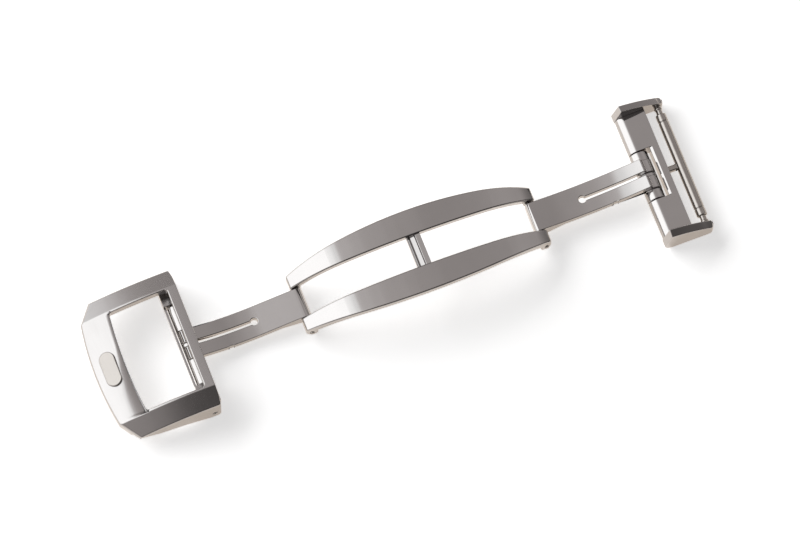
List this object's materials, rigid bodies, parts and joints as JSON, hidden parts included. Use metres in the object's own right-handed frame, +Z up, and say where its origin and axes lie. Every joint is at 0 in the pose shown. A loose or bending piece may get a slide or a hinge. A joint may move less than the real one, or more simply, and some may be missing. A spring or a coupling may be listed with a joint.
{
  "type": "deployant clasp",
  "caption": "Folding steel clasp for a leather watch strap: an arched open frame with two hinged blades that carry a window buckle and a strap-bar end piece.",
  "frame": {"origin": "on the table under the middle of the open clasp's box", "axes": "+X along the open clasp from the buckle to the strap bar, +Y across it, +Z up from the table"},
  "size_m": [0.0764, 0.0182, 0.006],
  "materials": {
    "polished_steel": "polished stainless steel",
    "brushed_steel": "finely brushed stainless steel",
    "pin_steel": "ground stainless steel",
    "spring_steel": "drawn spring steel wire"
  },
  "bodies": {
    "centre_frame": {"far_rail": "polished_steel", "near_rail": "polished_steel", "catch_channel": "polished_steel", "left_frame_pin": "pin_steel", "right_frame_pin": "pin_steel"},
    "left_blade": {"left_blade": "polished_steel"},
    "buckle": {"buckle_frame": "brushed_steel", "buckle_cross_plate": "brushed_steel", "buckle_hinge_pin": "pin_steel", "buckle_plaque": "polished_steel"},
    "right_blade": {"right_blade": "polished_steel"},
    "end_piece": {"end_bar": "polished_steel", "end_cheek_far": "polished_steel", "end_cheek_near": "polished_steel", "end_hinge_pin": "pin_steel", "strap_peg": "polished_steel"},
    "strap_bar": {"strap_bar_tube": "polished_steel", "strap_bar_spring": "spring_steel"},
    "tip_far": {"strap_bar_tip_far": "pin_steel"},
    "tip_near": {"strap_bar_tip_near": "pin_steel"}
  },
  "joints": [
    {"name": "left_fold", "type": "hinge", "parent": "centre_frame", "child": "left_blade", "pos_m": [-0.0118, 0, 0.0013], "axis": [0, 1, 0], "range_deg": [0, 156]},
    {"name": "right_fold", "type": "hinge", "parent": "centre_frame", "child": "right_blade", "pos_m": [0.0184, 0, 0.0013], "axis": [0, -1, 0], "range_deg": [0, 156]},
    {"name": "buckle_pivot", "type": "hinge", "parent": "left_blade", "child": "buckle", "pos_m": [-0.0263, 0, 0.00125], "axis": [0, 1, 0], "range_deg": [-156, 0]},
    {"name": "end_pivot", "type": "hinge", "parent": "right_blade", "child": "end_piece", "pos_m": [0.033, 0, 0.00125], "axis": [0, -1, 0], "range_deg": [-156, 0]},
    {"name": "strap_bar_spin", "type": "hinge", "parent": "end_piece", "child": "strap_bar", "pos_m": [0.0374, 0, 0.0013], "axis": [0, 1, 0], "continuous": true},
    {"name": "tip_far_push", "type": "slide", "parent": "strap_bar", "child": "tip_far", "axis": [0, -1, 0], "range_m": [0, 0.00055], "stiffness_N_per_m": 1000, "springref_m": -0.0005, "deforming": ["strap_bar_spring"]},
    {"name": "tip_near_push", "type": "slide", "parent": "strap_bar", "child": "tip_near", "axis": [0, 1, 0], "range_m": [0, 0.00055], "stiffness_N_per_m": 1000, "springref_m": -0.0005, "deforming": ["strap_bar_spring"]}
  ],
  "couplings": [
    {"joint": "buckle_pivot", "follows": "left_fold", "ratio": -1},
    {"joint": "end_pivot", "follows": "right_fold", "ratio": -1}
  ]
}
